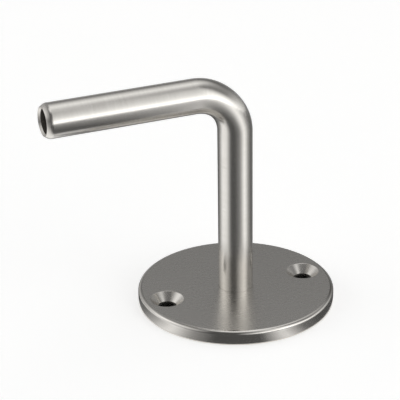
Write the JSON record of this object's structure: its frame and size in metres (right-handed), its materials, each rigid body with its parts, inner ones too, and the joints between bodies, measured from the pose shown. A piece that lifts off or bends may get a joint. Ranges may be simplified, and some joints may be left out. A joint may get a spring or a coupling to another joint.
{
  "type": "handrail bracket",
  "caption": "Stainless steel wall bracket for a handrail: a round flange plate with countersunk screw holes and a tube bent through a right angle, its arm ending in an open bore.",
  "frame": {"origin": "centre of the flange plate's back face, half-way between the two screw holes", "axes": "+Z away from the wall along the standing leg, -X along the arm to its open mouth, both screw holes on X, right-handed"},
  "size_m": [0.119, 0.08, 0.099],
  "materials": {
    "plate_satin_steel": "satin ground stainless steel, fine grain",
    "tube_satin_steel": "satin polished stainless steel",
    "weld_steel": "pickled weld bead, matt"
  },
  "bodies": {
    "root": {"flange_plate": "plate_satin_steel", "bent_tube": "tube_satin_steel", "back_weld": "weld_steel"}
  },
  "joints": []
}
